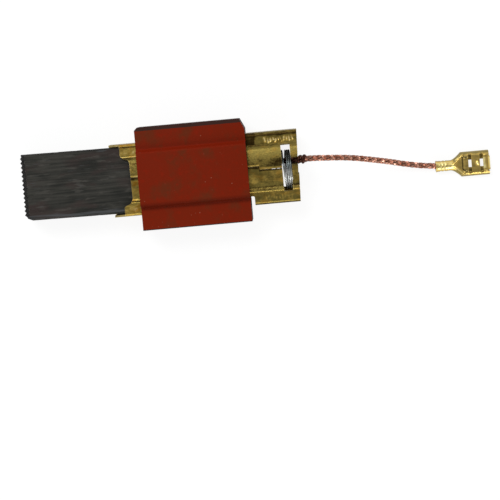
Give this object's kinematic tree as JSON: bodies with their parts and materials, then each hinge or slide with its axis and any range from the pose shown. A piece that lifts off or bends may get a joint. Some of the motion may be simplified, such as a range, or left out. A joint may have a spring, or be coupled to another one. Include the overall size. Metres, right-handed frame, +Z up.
{
  "type": "carbon brush",
  "caption": "Carbon brush sliding in a folded brass holder with an insulating sleeve, a coil spring and a braided copper pigtail that ends in a push-on terminal.",
  "frame": {"origin": "middle of the sleeve's flat underside, below the middle of the sleeve's length and width", "axes": "+X along the brush from the contact face to the terminal, +Z up out of the flat underside, +Y across the brush"},
  "size_m": [0.1179, 0.0256, 0.013],
  "materials": {
    "carbon": "matte",
    "copper_powder": "matte",
    "copper_braid": "satin",
    "terminal_brass": "satin",
    "holder_brass": "satin",
    "spring_steel": "polished",
    "sleeve_resin": "matte"
  },
  "bodies": {
    "holder": {"brush_tube": "holder_brass", "insulating_sleeve": "sleeve_resin", "spring": "spring_steel"},
    "brush": {"carbon_block": "carbon", "tamp_plug": "copper_powder", "pigtail": "copper_braid", "terminal": "terminal_brass"}
  },
  "joints": [
    {"name": "brush_slide", "type": "slide", "parent": "holder", "child": "brush", "axis": [1, 0, 0], "range_m": [0, 0.02], "stiffness_N_per_m": 120, "springref_m": -0.01, "deforming": ["spring"]}
  ]
}
